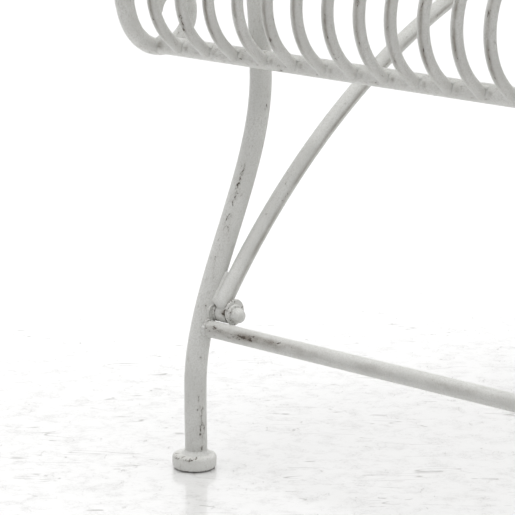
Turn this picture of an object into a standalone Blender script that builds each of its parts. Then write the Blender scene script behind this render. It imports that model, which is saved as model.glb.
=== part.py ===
# Slatted steel daybed: a rod seat rolled over at both long edges, scrolled end tubes, low hooped ends,
# four S-curved legs on disc feet, two low stretchers and four arched braces bolted at the knees.
# Metres. +X runs along the daybed, +Y is the rear, +Z is up, origin on the floor under the middle.
import bpy
import bmesh
from math import sin, cos, pi, radians, sqrt
from mathutils import Vector, Matrix

# ---------------------------------------------------------------- driving dimensions
GAP = 0.0003                 # air left between two pieces that are welded or clamped together

ROD_R = 0.0051               # seat rods
ROD_PITCH = 0.0334
RODS_PER_PANEL = 5
PANELS = 11
SEAT_Z = 0.464               # height of the rods' centre line over the seat
FRONT_Y = 0.395              # how far out the rods' centre line reaches at the rolled edges
ROLL_TOP_R = 0.062           # upper part of the roll
ROLL_LOW_R = 0.060           # lower part of the roll
ROLL_LOW_TURN = 50.0         # degrees the lower part turns before the rod meets the rail

RAIL_R = 0.0081              # lower rail the rods end on
RAIL_IN = 0.0383             # rail centre, inward from the rods' outermost line
RAIL_Z = 0.3469
BEAM_R = 0.008               # upper beams under the rods
BEAM_IN = 0.0455
BEAM_Z = 0.4471

END_R = 0.00875              # end tubes, scrolled at both ends
END_Y = 0.3966               # how far out their centre line reaches
SCROLL_ARCS = ((0.0775, 24, 2), (0.0455, 60, 4), (0.0355, 57, 3), (0.025, 58, 3), (0.020, 90, 4),
               (0.0215, 60, 3))   # radius, degrees and steps, from the outermost point down and in
TAPER_START = 0.088          # the bar thins along the scroll from here, measured from the flat seat
TAPER = 0.0157               # metres of radius lost along each metre
HOOP_Y = 0.30                # hoop posts, either side of the middle
HOOP_RISE = 0.285
HOOP_CORNER_R = 0.13
SPINDLE_R = 0.005
SPINDLES = 8
SPINDLE_PITCH = 0.0666
CROSS_BAR_T = 0.004          # flat bar that ties the spindles
CROSS_BAR_H = 0.014
CROSS_BAR_UP = 0.141         # its middle, above the foot of the spindles

LEG_R = 0.0095
LEG_INSET = 0.1074           # leg plane, inward from the end tube
LEG_STAND = 0.0016           # leg centre, inward from the foot centre
BOW_TOP = 0.054              # the leg's lowest part bows out below this height
BOW = 0.60                   # inward offset of the bow, metres for each square metre of height below its top
BEND_LOW = 0.072             # the S-curve runs between these heights ...
BEND_HIGH = 0.328
BEND_IN = 0.0807             # ... and carries the leg inward by this much
FOOT_LINE = 0.4212           # foot centre, outward from the middle
FOOT_R = 0.019
FOOT_H = 0.0125

STRETCHER_R = 0.0073
STRETCHER_Z = 0.1222

BRACE_R = 0.0072
BRACE_OFF = 0.0170           # brace plane, from the leg plane toward the middle of the daybed
BRACE_ARC_R = 0.6861
BRACE_ARC_Y = 0.1492         # arc centre, past the middle as seen from the leg
BRACE_ARC_Z = -0.2630
KNEE_IN = 0.0203             # knee bolt, inward from the foot centre
KNEE_Z = 0.1354
BOLT_R = 0.003
# along the knee bolt, measured from the leg plane toward the middle of the daybed
BOSS_START = 0.0099
BOSS_END = 0.0121
SLEEVE_R = 0.0083            # sleeve across the brace's lower end, and the boss behind it
SLEEVE_END = 0.0243
WASHER_R = 0.0108
WASHER_T = 0.0026
WASHER_SLIP = 0.0022         # the wide washer sits off the bolt, inward and up, by this much each way
WASHER_HOLE_R = 0.0064
FLANGE_R = 0.0092            # flange of the cap nut
FLANGE_T = 0.0018
NUT_R = 0.0072
NUT_H = 0.0040
DOME_R = 0.0063
STUD_REACH = 0.0330
RIVET_Y = 0.022              # upper brace rivets, either side of the middle
RIVET_HEAD_R = 0.0055
RIVET_HEAD_H = 0.0030
EYE_R = 0.0095               # flat eye at the brace's upper end
EYE_T = 0.009
NECK_W = 0.0172              # flattened neck between the tube and the eye
NECK_Y = 0.046               # where the neck starts, outward from the middle
HANGER_T = 0.004
HANGER_HALF = 0.032
HANGER_BELOW = 0.012         # below the rivets

HALF_LEN = ROD_PITCH * (RODS_PER_PANEL * PANELS + 1) / 2
LEG_X = HALF_LEN - LEG_INSET

for old in list(bpy.data.objects):
    bpy.data.objects.remove(old)

parts = bpy.data.collections.new("daybed")
cutters = bpy.data.collections.new("cutters")
bpy.context.scene.collection.children.link(parts)
bpy.context.scene.collection.children.link(cutters)


# ---------------------------------------------------------------- materials
def paint(name, rgb, rough=0.55, metal=0.0):
    m = bpy.data.materials.new(name)
    m.use_nodes = True
    s = m.node_tree.nodes["Principled BSDF"]
    s.inputs["Base Color"].default_value = (rgb[0], rgb[1], rgb[2], 1.0)
    s.inputs["Roughness"].default_value = rough
    s.inputs["Metallic"].default_value = metal
    return m


WHITE = (0.70, 0.70, 0.66)
WORN = (0.62, 0.61, 0.57)


# ---------------------------------------------------------------- shape helpers
def arc(points, heading, radius, turn, steps):
    # Adds an arc in the (Y, Z) plane that starts at the last point; a positive turn bends left.
    side = 1 if turn > 0 else -1
    y, z = points[-1]
    cy, cz = y - side * radius * sin(heading), z + side * radius * cos(heading)
    for k in range(1, steps + 1):
        h = heading + radians(turn) * k / steps
        points.append((cy + side * radius * sin(h), cz - side * radius * cos(h)))
    return heading + radians(turn)


def ahead(points, heading, length):
    y, z = points[-1]
    points.append((y + length * cos(heading), z + length * sin(heading)))


def settle(ob, where=parts):
    where.objects.link(ob)
    if where is cutters:
        ob.hide_render = True
        ob.display_type = "WIRE"
    return ob


def wire(name, pts, radius, sides_level, where=parts, swell=None):
    # A round bar along 3-D points: a bevelled curve turned into a closed mesh. swell scales the radius
    # at each point.
    cu = bpy.data.curves.new(name + "_path", "CURVE")
    cu.dimensions = "3D"
    cu.bevel_depth = radius
    cu.bevel_resolution = sides_level
    cu.use_fill_caps = True
    sp = cu.splines.new("POLY")
    sp.points.add(len(pts) - 1)
    for i, co in enumerate(pts):
        sp.points[i].co = (co[0], co[1], co[2], 1.0)
        sp.points[i].radius = swell[i] if swell else 1.0
    tmp = bpy.data.objects.new(name + "_curve", cu)
    bpy.context.scene.collection.objects.link(tmp)
    bpy.context.view_layer.update()
    graph = bpy.context.evaluated_depsgraph_get()
    me = bpy.data.meshes.new_from_object(tmp.evaluated_get(graph))
    bpy.data.objects.remove(tmp)
    bpy.data.curves.remove(cu)
    bm = bmesh.new()
    bm.from_mesh(me)
    bmesh.ops.remove_doubles(bm, verts=bm.verts, dist=0.00002)
    bmesh.ops.recalc_face_normals(bm, faces=bm.faces)
    bm.to_mesh(me)
    bm.free()
    me.materials.clear()
    return settle(bpy.data.objects.new(name, me), where)


def bar(name, a, b, radius, sides=12, where=parts):
    # A straight round bar from a to b.
    a, b = Vector(a), Vector(b)
    bm = bmesh.new()
    bmesh.ops.create_cone(bm, cap_ends=True, segments=sides, radius1=radius, radius2=radius,
                          depth=(b - a).length)
    turn = (b - a).to_track_quat("Z", "Y").to_matrix().to_4x4()
    bmesh.ops.transform(bm, matrix=Matrix.Translation((a + b) / 2) @ turn, verts=bm.verts)
    return from_bmesh(name, bm, where)


def block(name, lo, hi, where=parts):
    bm = bmesh.new()
    bmesh.ops.create_cube(bm, size=1.0)
    for v in bm.verts:
        v.co = Vector([(lo[i] + hi[i]) / 2 + v.co[i] * (hi[i] - lo[i]) for i in range(3)])
    return from_bmesh(name, bm, where)


def tongue(name, x, a, b, width, thick, where=parts):
    # A flat slab in the (Y, Z) plane from a to b.
    (ya, za), (yb, zb) = a, b
    run = sqrt((yb - ya) ** 2 + (zb - za) ** 2)
    bm = bmesh.new()
    bmesh.ops.create_cube(bm, size=1.0)
    for v in bm.verts:
        u, w = (v.co.y + 0.5) * run, v.co.z * width
        v.co = Vector((x + v.co.x * thick, ya + ((yb - ya) * u - (zb - za) * w) / run,
                       za + ((zb - za) * u + (yb - ya) * w) / run))
    return from_bmesh(name, bm, where)


def turned(name, profile, sides, matrix, where=parts):
    # A solid of revolution about its own Z from (radius, height) pairs that start and end on the axis.
    bm = bmesh.new()
    vs = [bm.verts.new((r, 0.0, z)) for r, z in profile]
    es = [bm.edges.new((vs[i], vs[i + 1])) for i in range(len(vs) - 1)]
    bmesh.ops.spin(bm, geom=vs + es, cent=(0, 0, 0), axis=(0, 0, 1), angle=2 * pi, steps=sides,
                   use_merge=True)
    bmesh.ops.remove_doubles(bm, verts=bm.verts, dist=0.00002)
    bmesh.ops.transform(bm, matrix=matrix, verts=bm.verts)
    return from_bmesh(name, bm, where)


def from_bmesh(name, bm, where):
    bmesh.ops.recalc_face_normals(bm, faces=bm.faces)
    me = bpy.data.meshes.new(name)
    bm.to_mesh(me)
    bm.free()
    return settle(bpy.data.objects.new(name, me), where)


def combine(ob, other, how):
    mod = ob.modifiers.new(how.lower(), "BOOLEAN")
    mod.operation = how
    mod.solver = "EXACT"
    mod.object = other
    bpy.context.view_layer.update()
    graph = bpy.context.evaluated_depsgraph_get()
    me = bpy.data.meshes.new_from_object(ob.evaluated_get(graph))
    ob.modifiers.clear()
    old = ob.data
    ob.data = me
    bpy.data.meshes.remove(old)
    return ob


def finish(ob, rgb=WHITE, rough=0.55):
    ob.data.materials.clear()
    ob.data.materials.append(paint(ob.name + "_paint", rgb, rough))
    return ob


# ---------------------------------------------------------------- centre lines in the (Y, Z) plane
def roll_line(top_steps, low_steps, last):
    # From the flat seat over the front edge down to the rail, front at negative Y.
    pts = [(-FRONT_Y + ROLL_TOP_R, SEAT_Z)]
    h = arc(pts, pi, ROLL_TOP_R, 90, top_steps)
    h = arc(pts, h, ROLL_LOW_R, ROLL_LOW_TURN, low_steps)
    ahead(pts, h, last)
    return pts


def both_edges(half):
    # The same line for the rear edge, joined through the flat seat.
    return list(reversed(half)) + [(-y, z) for y, z in half]


def scroll_line():
    # The end tube: over the front edge, under the rail and up into a scroll that turns in on itself.
    pts = [(-END_Y + ROLL_TOP_R, SEAT_Z)]
    h = arc(pts, pi, ROLL_TOP_R, 90, 5)
    for radius, turn, steps in SCROLL_ARCS:
        h = arc(pts, h, radius, turn, steps)
    return pts


def scroll_swell(line):
    # Share of the full radius left at each point of the scroll.
    run, shares = 0.0, [1.0]
    for (y0, z0), (y1, z1) in zip(line, line[1:]):
        run += sqrt((y1 - y0) ** 2 + (z1 - z0) ** 2)
        shares.append(1.0 - max(0.0, run - TAPER_START) * TAPER / END_R)
    return shares


def leg_line():
    # Foot, a slight outward bow, the S-curve inward and the top leaning out to the beam.
    start = -FOOT_LINE + LEG_STAND
    pts = [(start + BOW * (BOW_TOP - max(z, 0.030)) ** 2, z) for z in (FOOT_H + GAP, 0.030, BOW_TOP)]
    pts.append((start, BEND_LOW))
    for k in range(1, 10):
        t = k / 9
        pts.append((start + BEND_IN * t * t * (3 - 2 * t), BEND_LOW + (BEND_HIGH - BEND_LOW) * t))
    pts.append((start + BEND_IN - 0.0001, 0.350))
    pts.append((start + BEND_IN - 0.0043, 0.388))
    pts.append((-FRONT_Y + BEAM_IN, BEAM_Z - BEAM_R - GAP - 0.0012))
    return pts


def leg_y(z):
    line = leg_line()
    for (y0, z0), (y1, z1) in zip(line, line[1:]):
        if z0 <= z <= z1:
            return y0 + (y1 - y0) * (z - z0) / (z1 - z0)
    return line[-1][0]


def brace_line():
    # One arc from the sleeve at the knee to the rivet under the middle.
    def on_arc(y):
        return BRACE_ARC_Z + sqrt(BRACE_ARC_R ** 2 - (y - BRACE_ARC_Y) ** 2)
    low, high = -FOOT_LINE + 0.0150, -RIVET_Y - 0.016
    steps = 11
    pts = []
    for k in range(steps + 1):
        y = low + (high - low) * (k / steps) ** 1.4
        pts.append((y, on_arc(y)))
    return pts, on_arc(-RIVET_Y)


# ---------------------------------------------------------------- seat panels
seat_line = both_edges(roll_line(6, 2, 0.0035))
for panel in range(PANELS):
    first = -HALF_LEN + ROD_PITCH * (1 + panel * RODS_PER_PANEL)
    last = first + ROD_PITCH * (RODS_PER_PANEL - 1)
    strip = block("seat_panel_%02d" % (panel + 1), (first - ROD_PITCH / 2 + GAP / 2, -0.006, SEAT_Z - 0.0038),
                  (last + ROD_PITCH / 2 - GAP / 2, 0.006, SEAT_Z - 0.0008))
    for k in range(RODS_PER_PANEL):
        x = first + k * ROD_PITCH
        rod = wire("rod_cut", [(x, y, z) for y, z in seat_line], ROD_R, 1, cutters)
        combine(strip, rod, "UNION")
        bpy.data.objects.remove(rod)
    finish(strip)

# ---------------------------------------------------------------- rails, beams and end tubes
end_half = scroll_line()
end_shares = scroll_swell(end_half)
inside = HALF_LEN - END_R - GAP
# the rails end on the thinner bar of the scrolls
lowest = min(range(len(end_half)), key=lambda i: end_half[i][1])
rail_reach = HALF_LEN - END_R * end_shares[lowest - 1] - GAP
for word, side in (("front", -1), ("rear", 1)):
    y = side * (FRONT_Y - RAIL_IN)
    finish(bar(word + "_rail", (-rail_reach, y, RAIL_Z), (rail_reach, y, RAIL_Z), RAIL_R))
    y = side * (FRONT_Y - BEAM_IN)
    finish(bar(word + "_beam", (-inside, y, BEAM_Z), (inside, y, BEAM_Z), BEAM_R))
beam_z = SEAT_Z - ROD_R - GAP - BEAM_R
finish(bar("centre_beam", (-inside, 0, beam_z), (inside, 0, beam_z), BEAM_R))

end_line = both_edges(end_half)
end_swell = list(reversed(end_shares)) + end_shares
for word, side in (("left", -1), ("right", 1)):
    x = side * HALF_LEN
    finish(wire(word + "_end_tube", [(x, y, z) for y, z in end_line], END_R, 2, swell=end_swell))
    base = SEAT_Z + END_R + GAP
    hoop = [(HOOP_Y, base)]
    ahead(hoop, pi / 2, HOOP_RISE - HOOP_CORNER_R)
    arc(hoop, pi / 2, HOOP_CORNER_R, 90, 5)
    hoop = hoop + [(-y, z) for y, z in reversed(hoop)]
    finish(wire(word + "_hoop", [(x, y, z) for y, z in hoop], END_R, 2))
    top = base + HOOP_RISE
    rail_half = HOOP_Y - END_R - GAP
    low, high = base + CROSS_BAR_UP - CROSS_BAR_H / 2, base + CROSS_BAR_UP + CROSS_BAR_H / 2
    comb = block(word + "_spindles", (x - CROSS_BAR_T / 2, -rail_half, low),
                 (x + CROSS_BAR_T / 2, rail_half, high))
    for k in range(SPINDLES):
        y = (k - (SPINDLES - 1) / 2) * SPINDLE_PITCH
        past = max(0.0, abs(y) + SPINDLE_R - (HOOP_Y - HOOP_CORNER_R))
        head = top - HOOP_CORNER_R + sqrt((HOOP_CORNER_R - END_R) ** 2 - past ** 2) - GAP
        head -= 0.0030 if past else 0
        pin = bar("spindle_cut", (x, y, base), (x, y, head), SPINDLE_R, 6, cutters)
        combine(comb, pin, "UNION")
        bpy.data.objects.remove(pin)
    finish(comb)

# ---------------------------------------------------------------- legs, feet, knees, braces and stretchers
brace_path, rivet_z = brace_line()
knee_x = Matrix.Rotation(pi / 2, 4, "Y")
for y_word, sy in (("front", -1), ("rear", 1)):
    for x_word, sx in (("left", -1), ("right", 1)):
        tag = y_word + "_" + x_word
        x = sx * LEG_X
        inward = -sx
        # centre lines are written for the front; the rear ones are their mirror image
        leg = wire(tag + "_leg", [(x, -sy * y, z) for y, z in leg_line()], LEG_R, 2)
        finish(leg)
        foot = [(0, 0), (FOOT_R - 0.0010, 0), (FOOT_R, 0.0012), (FOOT_R, FOOT_H - 0.0010),
                (FOOT_R - 0.0008, FOOT_H), (0, FOOT_H)]
        finish(turned(tag + "_foot", foot, 18, Matrix.Translation((x, sy * FOOT_LINE, 0))), WORN)

        ky = sy * (FOOT_LINE - KNEE_IN)
        axis = Matrix.Translation((x, ky, KNEE_Z)) @ Matrix.Rotation(inward * pi / 2, 4, "Y")
        hole = bar("hole_cut", (x, ky, KNEE_Z), (x + inward * 0.05, ky, KNEE_Z), BOLT_R + GAP, 8, cutters)
        boss = turned(tag + "_knee_boss", [(0, BOSS_START), (SLEEVE_R, BOSS_START), (SLEEVE_R, BOSS_END),
                      (0, BOSS_END)], 14, axis)
        finish(combine(boss, hole, "DIFFERENCE"), WORN)
        stud = [(0, BOSS_START), (BOLT_R, BOSS_START), (BOLT_R, STUD_REACH), (0, STUD_REACH)]
        finish(turned(tag + "_knee_stud", stud, 8, axis), WORN)

        # wide washer, its hole larger than the stud, slipped inward and up
        near = SLEEVE_END + GAP
        wy, wz = ky - sy * WASHER_SLIP, KNEE_Z + WASHER_SLIP
        slipped = Matrix.Translation((x, wy, wz)) @ Matrix.Rotation(inward * pi / 2, 4, "Y")
        washer = turned(tag + "_knee_washer", [(0, near), (WASHER_R, near), (WASHER_R, near + WASHER_T),
                        (0, near + WASHER_T)], 18, slipped)
        eye = bar("eye_cut", (x, wy, wz), (x + inward * 0.05, wy, wz), WASHER_HOLE_R, 12, cutters)
        finish(combine(washer, eye, "DIFFERENCE"), WORN)
        bpy.data.objects.remove(eye)

        near = near + WASHER_T + GAP
        cap = [(0, near), (FLANGE_R, near), (FLANGE_R, near + FLANGE_T), (NUT_R, near + FLANGE_T + 0.0002),
               (NUT_R, near + NUT_H + FLANGE_T)]
        for k in range(3):
            a = k * pi / 6
            cap.append((DOME_R * cos(a), near + FLANGE_T + NUT_H + 0.0002 + DOME_R * 0.9 * sin(a)))
        cap.append((0, near + FLANGE_T + NUT_H + 0.0002 + DOME_R * 0.9))
        nut = turned(tag + "_cap_nut", cap, 14, axis)
        deep = STUD_REACH + 0.0004
        bore = bar("bore_cut", (x, ky, KNEE_Z), (x + inward * deep, ky, KNEE_Z), BOLT_R + GAP, 8, cutters)
        finish(combine(nut, bore, "DIFFERENCE"), WORN)

        bx = x + inward * BRACE_OFF
        brace = wire(tag + "_brace", [(bx, -sy * y, z) for y, z in brace_path], BRACE_R, 2)
        # room for the boss, then the sleeve itself
        past = BOSS_END + GAP
        room = bar("boss_cut", (x, ky, KNEE_Z), (x + inward * past, ky, KNEE_Z), SLEEVE_R + GAP, 16, cutters)
        combine(brace, room, "DIFFERENCE")
        eye = bar("eye_cut", (x + inward * past, ky, KNEE_Z), (x + inward * SLEEVE_END, ky, KNEE_Z), SLEEVE_R,
                  14, cutters)
        combine(brace, eye, "UNION")
        ry = sy * RIVET_Y
        high = bar("eye_cut", (bx - EYE_T / 2, ry, rivet_z), (bx + EYE_T / 2, ry, rivet_z), EYE_R, 14, cutters)
        flat = tongue("tongue_cut", bx, (sy * NECK_Y, brace_path[-1][1] - 0.0022), (ry, rivet_z), NECK_W, EYE_T,
                      cutters)
        combine(flat, high, "UNION")
        combine(brace, flat, "UNION")
        combine(brace, hole, "DIFFERENCE")
        rivet_hole = bar("hole_cut", (bx - 0.02, ry, rivet_z), (bx + 0.02, ry, rivet_z), BOLT_R + GAP, 8,
                         cutters)
        combine(brace, rivet_hole, "DIFFERENCE")
        finish(brace)
        # rivet through the hanger plate on the leg's side and the brace's upper eye
        near = -EYE_T / 2 - GAP - HANGER_T - GAP
        far = EYE_T / 2 + GAP
        shoulder, rise = RIVET_HEAD_R - 0.0015, RIVET_HEAD_H - 0.0008
        rivet = [(0, near - RIVET_HEAD_H), (shoulder, near - rise), (RIVET_HEAD_R, near), (BOLT_R, near),
                 (BOLT_R, far), (RIVET_HEAD_R, far), (shoulder, far + rise), (0, far + RIVET_HEAD_H)]
        place = Matrix.Translation((bx, ry, rivet_z)) @ Matrix.Rotation(inward * pi / 2, 4, "Y")
        finish(turned(tag + "_brace_rivet", rivet, 8, place), WORN)
        for ob in (hole, bore, room, eye, high, flat, rivet_hole):
            bpy.data.objects.remove(ob)

    # stretcher between the two legs of this side, butted on their inner flanks
    sz = STRETCHER_Z
    y = -sy * leg_y(sz)
    reach = LEG_X - LEG_R - GAP
    finish(bar(y_word + "_stretcher", (-reach, y, sz), (reach, y, sz), STRETCHER_R))

for x_word, sx in (("left", -1), ("right", 1)):
    bx = sx * (LEG_X - BRACE_OFF)
    x0 = bx + sx * (EYE_T / 2 + GAP)
    x1 = x0 + sx * HANGER_T
    top_z = beam_z - BEAM_R - GAP
    plate = block(x_word + "_hanger", (min(x0, x1), -HANGER_HALF, rivet_z - HANGER_BELOW),
                  (max(x0, x1), HANGER_HALF, top_z))
    for side in (-1, 1):
        ry = side * RIVET_Y
        hole = bar("hole_cut", (bx - 0.03, ry, rivet_z), (bx + 0.03, ry, rivet_z), BOLT_R + GAP, 8, cutters)
        combine(plate, hole, "DIFFERENCE")
        bpy.data.objects.remove(hole)
    finish(plate)

for me in list(bpy.data.meshes):
    if me.users == 0:
        bpy.data.meshes.remove(me)
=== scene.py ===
# Looks of the rod-seated steel daybed: worn painted bars, welds, bolted knees, floor, light and camera.
# Metres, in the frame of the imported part: +X along the daybed, +Y to the rear, +Z up.
import bpy
from math import sin, cos, acos, atan2, pi, radians, sqrt, exp, hypot
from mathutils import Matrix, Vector, noise


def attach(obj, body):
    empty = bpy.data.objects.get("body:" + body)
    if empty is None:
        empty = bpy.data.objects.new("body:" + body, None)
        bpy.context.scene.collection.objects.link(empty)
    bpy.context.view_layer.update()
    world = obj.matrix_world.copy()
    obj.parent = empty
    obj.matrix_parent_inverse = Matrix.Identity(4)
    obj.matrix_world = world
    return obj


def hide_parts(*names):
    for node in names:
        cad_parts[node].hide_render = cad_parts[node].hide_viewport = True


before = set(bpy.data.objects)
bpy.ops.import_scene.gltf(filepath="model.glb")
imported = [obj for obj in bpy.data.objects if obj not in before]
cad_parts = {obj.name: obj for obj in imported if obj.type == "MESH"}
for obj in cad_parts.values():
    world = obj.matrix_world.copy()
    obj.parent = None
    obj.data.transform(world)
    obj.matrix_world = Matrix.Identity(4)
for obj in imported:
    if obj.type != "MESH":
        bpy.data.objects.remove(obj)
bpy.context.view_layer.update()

# ---------------------------------------------------------------- sizes, as in the part (radius is _R)
GAP = 0.0003                 # air between two pieces that are welded or clamped together
ROD_R = 0.0051
ROD_PITCH = 0.0334
RODS_PER_PANEL = 5
PANELS = 11
SEAT_Z = 0.464
FRONT_Y = 0.395
ROLL_TOP_R = 0.062
ROLL_LOW_R = 0.060
ROLL_LOW_TURN = 50.0
RAIL_R = 0.0081
RAIL_IN = 0.0383
RAIL_Z = 0.3469
BEAM_R = 0.008
BEAM_IN = 0.0455
BEAM_Z = 0.4471
END_R = 0.00875
END_Y = 0.3966
# radius and degrees of each arc, from the outermost point down and in
SCROLL_ARCS = ((0.0775, 24), (0.0455, 60), (0.0355, 57), (0.025, 58), (0.020, 90), (0.0215, 60))
TAPER_START = 0.088          # the end tube thins along the scroll from here, measured from the flat seat
TAPER = 0.0157               # metres of radius lost along each metre
HOOP_Y = 0.30
HOOP_RISE = 0.285
HOOP_CORNER_R = 0.13
SPINDLE_R = 0.005
SPINDLES = 8
SPINDLE_PITCH = 0.0666
CROSS_BAR_R = 0.007          # half the height of the flat bar that ties the spindles
CROSS_BAR_FLAT = 0.42        # its thickness as a share of its height
CROSS_BAR_UP = 0.141         # above the foot of the spindles
LEG_R = 0.0095
LEG_INSET = 0.1074
LEG_STAND = 0.0016           # leg centre, inward from the foot centre
BOW_TOP = 0.054              # below this height the leg eases back inward, so it bows slightly out ...
BOW_LOW = 0.024              # ... and is upright again below this one
BOW = 0.60                   # inward offset divided by the square of the height below BOW_TOP
BEND_LOW = 0.072             # the S-curve runs between these heights ...
BEND_HIGH = 0.328
BEND_IN = 0.0807             # ... and carries the leg inward by this much
FOOT_LINE = 0.4212
FOOT_R = 0.019
FOOT_H = 0.0125
STRETCHER_R = 0.0073
STRETCHER_Z = 0.1222
BRACE_R = 0.0072
BRACE_OFF = 0.0170
BRACE_ARC_R = 0.6861
BRACE_ARC_Y = 0.1492
BRACE_ARC_Z = -0.2630
BRACE_START = 0.0178         # lower end of its centre line, inward from the foot line
KNEE_IN = 0.0203
KNEE_Z = 0.1354
BOLT_R = 0.003
BOSS_START = 0.0099
BOSS_END = 0.0121
SLEEVE_R = 0.0083
SLEEVE_END = 0.0243
WASHER_R = 0.0108
WASHER_T = 0.0026
WASHER_SLIP = 0.0022
FLANGE_R = 0.0092
FLANGE_T = 0.0018
NUT_R = 0.0072
NUT_H = 0.0040
DOME_R = 0.0063
STUD_END = 0.0330
SLEEVE_SEAM = 0.0092
RIVET_Y = 0.022
HANGER_T = 0.004
HANGER_HALF = 0.032
HANGER_CHAMFER = 0.004
HANGER_BELOW = 0.012         # lower edge, below the rivets
EYE_HALF = 0.0045            # half the thickness of the brace's eye, along the rivet
CAMERA_FROM_CORNER = (1.61799, -1.62524, 0.72005)   # from the floor under the front left foot
CAMERA_YAW = radians(46.475)
CAMERA_PITCH = radians(13.157)
CAMERA_LENS = 195.7          # millimetres, on a sensor 36 wide
FLOOR_TURN = radians(43.5)   # turns the floor's axes to run along and across the line of sight
FLOOR_REACH = 14.0
HALF_LEN = ROD_PITCH * (RODS_PER_PANEL * PANELS + 1) / 2
LEG_X = HALF_LEN - LEG_INSET


# ---------------------------------------------------------------- painted steel
def node(tree, kind, **settings):
    n = tree.nodes.new(kind)
    for key, value in settings.items():
        setattr(n, key, value)
    return n


def calc(tree, op, a, b=None, c=None):
    n = node(tree, "ShaderNodeMath", operation=op)
    for i, v in enumerate((a, b, c)):
        if v is None:
            continue
        if hasattr(v, "is_linked"):
            tree.links.new(v, n.inputs[i])
        else:
            n.inputs[i].default_value = v
    return n.outputs[0]


def noise_of(tree, vector, scale, detail=3.0, rough=0.55, distort=0.0):
    n = node(tree, "ShaderNodeTexNoise")
    tree.links.new(vector, n.inputs["Vector"])
    n.inputs["Scale"].default_value = scale
    n.inputs["Detail"].default_value = detail
    n.inputs["Roughness"].default_value = rough
    n.inputs["Distortion"].default_value = distort
    return n.outputs["Fac"]


def step(tree, value, low, high, to_low=0.0, to_high=1.0):
    n = node(tree, "ShaderNodeMapRange", interpolation_type="SMOOTHSTEP")
    tree.links.new(value, n.inputs["Value"])
    n.inputs["From Min"].default_value = low
    n.inputs["From Max"].default_value = high
    n.inputs["To Min"].default_value = to_low
    n.inputs["To Max"].default_value = to_high
    return n.outputs["Result"]


def mix(tree, factor, a, b):
    n = node(tree, "ShaderNodeMix", data_type="RGBA")
    ports = [s for s in n.inputs if s.enabled]
    for port, v in zip(ports, (factor, a, b)):
        if hasattr(v, "is_linked"):
            tree.links.new(v, port)
        elif isinstance(v, tuple):
            port.default_value = (v[0], v[1], v[2], 1.0)
        else:
            port.default_value = v
    return [s for s in n.outputs if s.enabled][0]


def worn_paint(name, wear=0.0, tone=1.0):
    # Antique white over brown primer: clouded coats, fine grain, rubbed specks drawn out along the bar.
    m = bpy.data.materials.new(name)
    m.use_nodes = True
    t = m.node_tree
    shader = t.nodes["Principled BSDF"]
    place = node(t, "ShaderNodeTexCoord").outputs["Object"]
    skin = node(t, "ShaderNodeUVMap", uv_map="skin").outputs["UV"]
    rub = node(t, "ShaderNodeAttribute", attribute_name="rub").outputs["Fac"]
    grime_and_shade = node(t, "ShaderNodeAttribute", attribute_name="grime_and_shade").outputs["Fac"]

    drawn = node(t, "ShaderNodeMapping")
    t.links.new(skin, drawn.inputs["Vector"])
    drawn.inputs["Scale"].default_value = (0.42, 1.0, 1.0)
    cloud = noise_of(t, place, 26.0, 3.0)
    grain = noise_of(t, place, 750.0, 2.0, 0.6)
    specks = noise_of(t, drawn.outputs["Vector"], 330.0, 5.0, 0.72, 0.4)
    patch = noise_of(t, place, 42.0, 2.0)

    coat = mix(t, step(t, cloud, 0.35, 0.65), tuple(tone * v for v in (0.662, 0.663, 0.642)),
               tuple(tone * v for v in (0.738, 0.739, 0.720)))
    coat = mix(t, step(t, grain, 0.34, 0.78), coat, tuple(tone * v for v in (0.60, 0.598, 0.566)))
    level = calc(t, "ADD", specks, calc(t, "MULTIPLY", rub, 0.24))
    level = calc(t, "ADD", level, calc(t, "MULTIPLY", patch, 0.22))
    stain_and_shade = step(t, level, 0.66 - wear, 0.94 - wear, 0.0, 0.48)
    # brown darkening from the second attribute: grime and rubbing, and on the feet's lowest edge a painted
    # contact shadow
    smear_and_shade = noise_of(t, drawn.outputs["Vector"], 150.0, 3.0, 0.6)
    smear_and_shade = calc(t, "MULTIPLY", grime_and_shade, step(t, smear_and_shade, 0.25, 0.75, 0.45, 1.35))
    stain_and_shade = calc(t, "MAXIMUM", stain_and_shade, calc(t, "MINIMUM", smear_and_shade, 0.92))
    bare = step(t, level, 0.825 - wear, 0.875 - wear)
    colour = mix(t, bare, mix(t, stain_and_shade, coat, (0.20, 0.175, 0.145)), (0.085, 0.068, 0.052))
    t.links.new(colour, shader.inputs["Base Color"])
    t.links.new(calc(t, "ADD", step(t, grain, 0.2, 0.8, 0.34, 0.48), calc(t, "MULTIPLY", bare, 0.2)),
                shader.inputs["Roughness"])
    shader.inputs["Specular IOR Level"].default_value = 0.55

    height = calc(t, "ADD", calc(t, "MULTIPLY", grain, 0.35), calc(t, "MULTIPLY", cloud, 0.5))
    height = calc(t, "SUBTRACT", height, calc(t, "MULTIPLY", bare, 0.45))
    bump = node(t, "ShaderNodeBump")
    bump.inputs["Strength"].default_value = 0.35
    bump.inputs["Distance"].default_value = 0.0006
    t.links.new(height, bump.inputs["Height"])
    t.links.new(bump.outputs["Normal"], shader.inputs["Normal"])
    return m


PAINT = worn_paint("antique_white")
ROD_PAINT = worn_paint("antique_white_rods", wear=0.01, tone=0.97)
HARD_PAINT = worn_paint("antique_white_hardware", wear=0.02, tone=1.07)


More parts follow.
